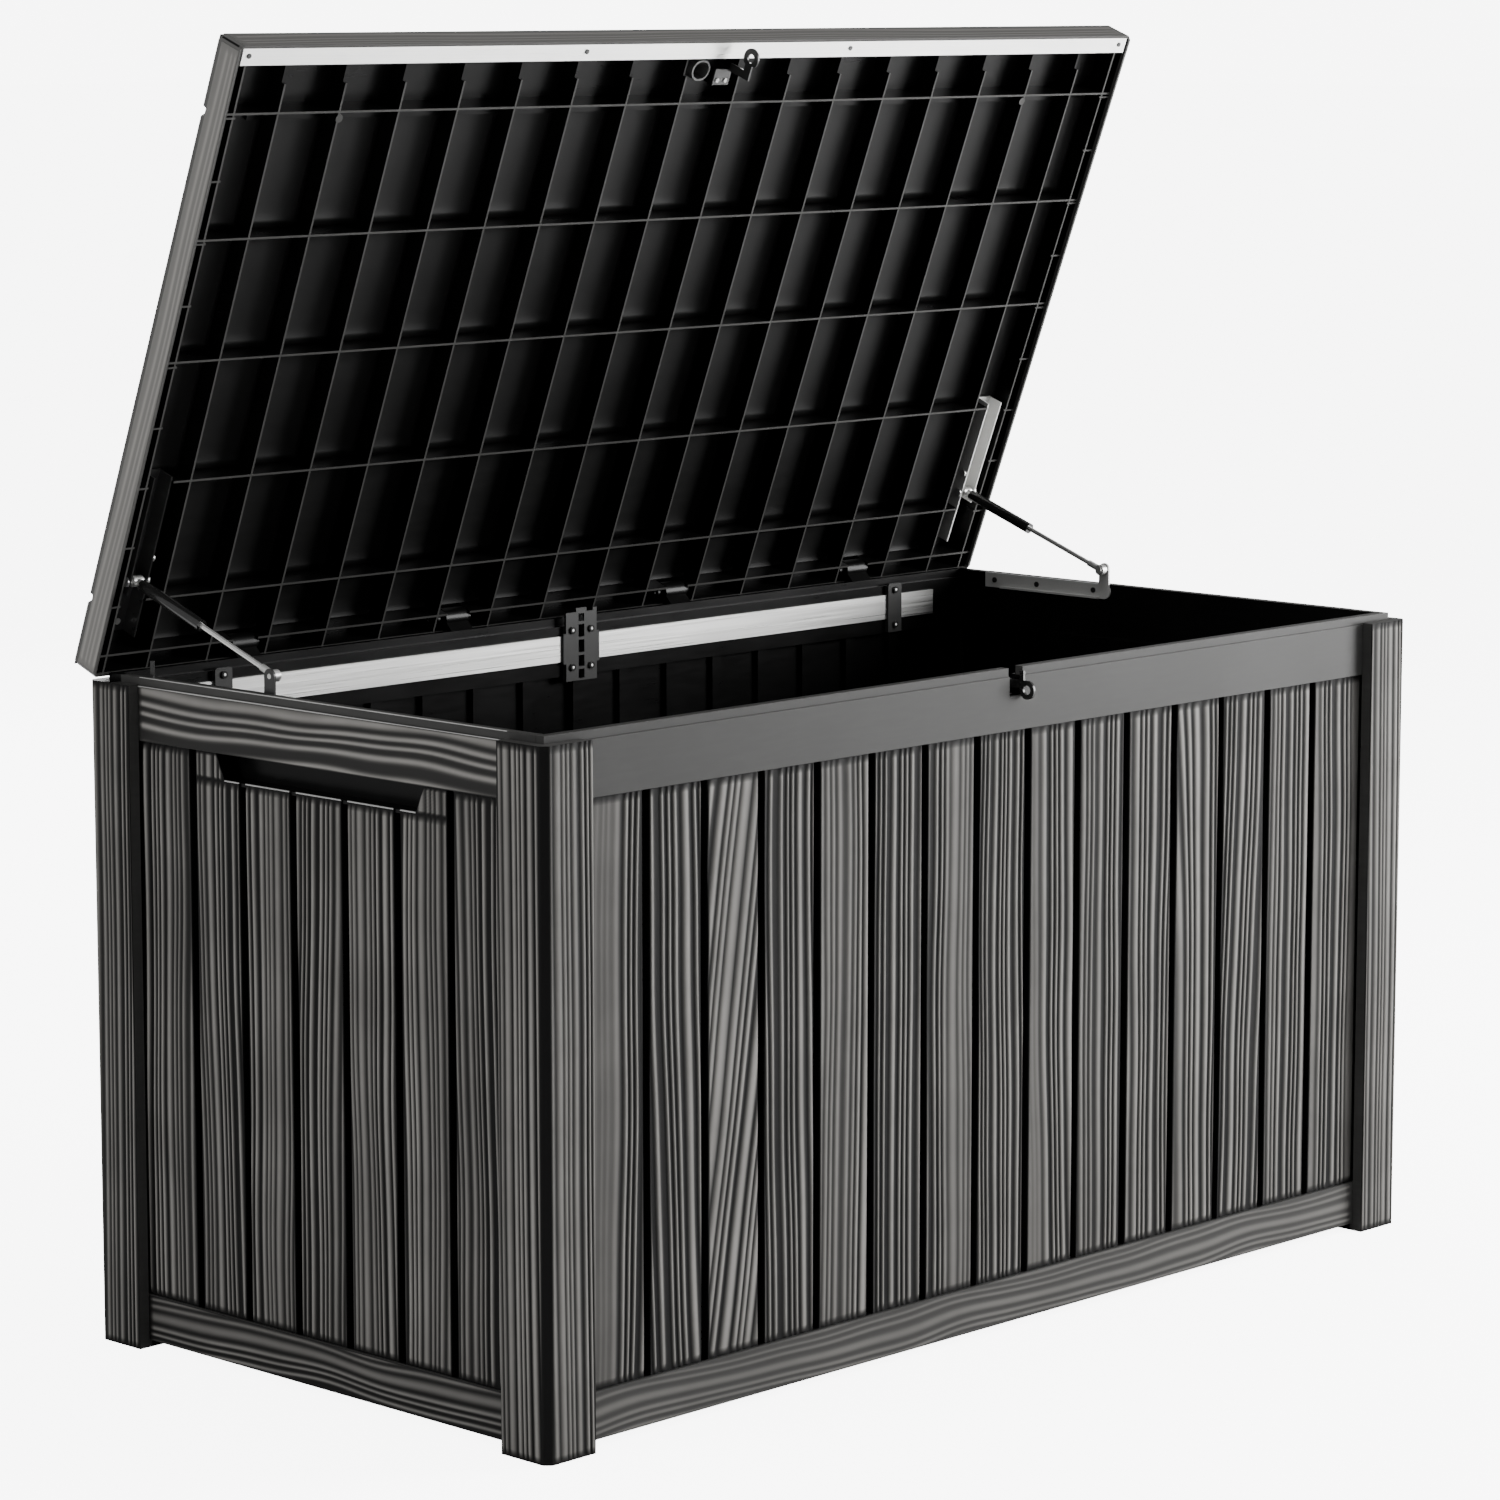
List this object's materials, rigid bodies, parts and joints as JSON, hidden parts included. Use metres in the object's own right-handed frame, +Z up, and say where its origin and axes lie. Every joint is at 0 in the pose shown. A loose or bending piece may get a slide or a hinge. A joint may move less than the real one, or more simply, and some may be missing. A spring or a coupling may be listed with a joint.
{
  "type": "deck storage box",
  "caption": "Slatted resin deck storage box with embossed wood grain, corner posts, hand-grip sides and a ribbed hinged lid held open by two gas struts.",
  "frame": {"origin": "on the ground in the middle of the footprint of the four corner posts", "axes": "+X to the right along the front, +Y from front to back, +Z up; the lid is drawn open"},
  "size_m": [1.5114, 0.7776, 1.5118],
  "materials": {
    "resin": "embossed wood grain outside, semi-gloss inside",
    "resin_black": "semi-gloss",
    "bar_metal": "brushed",
    "plate_metal": "satin",
    "screw_steel": "satin",
    "bracket_steel": "satin",
    "lock_black": "satin",
    "rod_chrome": "polished",
    "tube_black": "gloss"
  },
  "bodies": {
    "box": {"base_panel": "resin_black", "front_panel": "resin", "rear_panel_left": "resin", "rear_panel_right": "resin", "side_panel_left": "resin", "side_panel_right": "resin", "post_front_left": "resin", "post_front_right": "resin", "post_rear_left": "resin", "post_rear_right": "resin", "rear_bar_left": "bar_metal", "rear_bar_right": "bar_metal", "rear_splice_plate": "plate_metal", "splice_screws": "screw_steel", "bar_clip_left": "plate_metal", "bar_clip_right": "plate_metal", "clip_screws": "screw_steel", "strut_bracket_left": "bracket_steel", "strut_bracket_right": "bracket_steel", "bracket_screws": "screw_steel", "ball_stud_left": "bracket_steel", "ball_stud_right": "bracket_steel", "lock_eye": "lock_black", "lock_eye_screws": "screw_steel", "hinge_pins": "screw_steel"},
    "lid": {"lid_panel": "resin", "lid_front_bar": "bar_metal", "lid_bar_screws": "screw_steel", "lid_channel_left": "bracket_steel", "lid_channel_right": "bracket_steel", "lid_channel_screws": "screw_steel", "lid_studs_left": "bracket_steel", "lid_studs_right": "bracket_steel", "lock_tongue": "lock_black", "lock_tongue_screws": "screw_steel"},
    "rod_left": {"strut_rod_left": "rod_chrome", "rod_end_left": "bracket_steel"},
    "rod_right": {"strut_rod_right": "rod_chrome", "rod_end_right": "bracket_steel"},
    "tube_left": {"strut_tube_left": "tube_black", "tube_end_left": "bracket_steel"},
    "tube_right": {"strut_tube_right": "tube_black", "tube_end_right": "bracket_steel"}
  },
  "joints": [
    {"name": "lid_hinge", "type": "hinge", "parent": "box", "child": "lid", "pos_m": [0, 0.371, 0.7985], "axis": [1, 0, 0], "range_deg": [0, 69], "stiffness_Nm_per_rad": 6, "springref_deg": -137.51},
    {"name": "strut_swing_left", "type": "hinge", "parent": "box", "child": "rod_left", "pos_m": [-0.714, 0.0926, 0.8045], "axis": [1, 0, 0], "range_deg": [-23.4, 0]},
    {"name": "strut_slide_left", "type": "slide", "parent": "rod_left", "child": "tube_left", "axis": [0, 0.94, 0.3411], "range_m": [-0.0765, 0]},
    {"name": "strut_swing_right", "type": "hinge", "parent": "box", "child": "rod_right", "pos_m": [0.714, 0.0926, 0.8045], "axis": [1, 0, 0], "range_deg": [-23.4, 0]},
    {"name": "strut_slide_right", "type": "slide", "parent": "rod_right", "child": "tube_right", "axis": [0, 0.94, 0.3411], "range_m": [-0.0765, 0]}
  ],
  "couplings": [
    {"joint": "strut_swing_left", "follows": "lid_hinge", "ratio": -0.33482},
    {"joint": "strut_slide_left", "follows": "lid_hinge", "m_per_rad": -0.063135},
    {"joint": "strut_swing_right", "follows": "lid_hinge", "ratio": -0.33482},
    {"joint": "strut_slide_right", "follows": "lid_hinge", "m_per_rad": -0.063135}
  ]
}
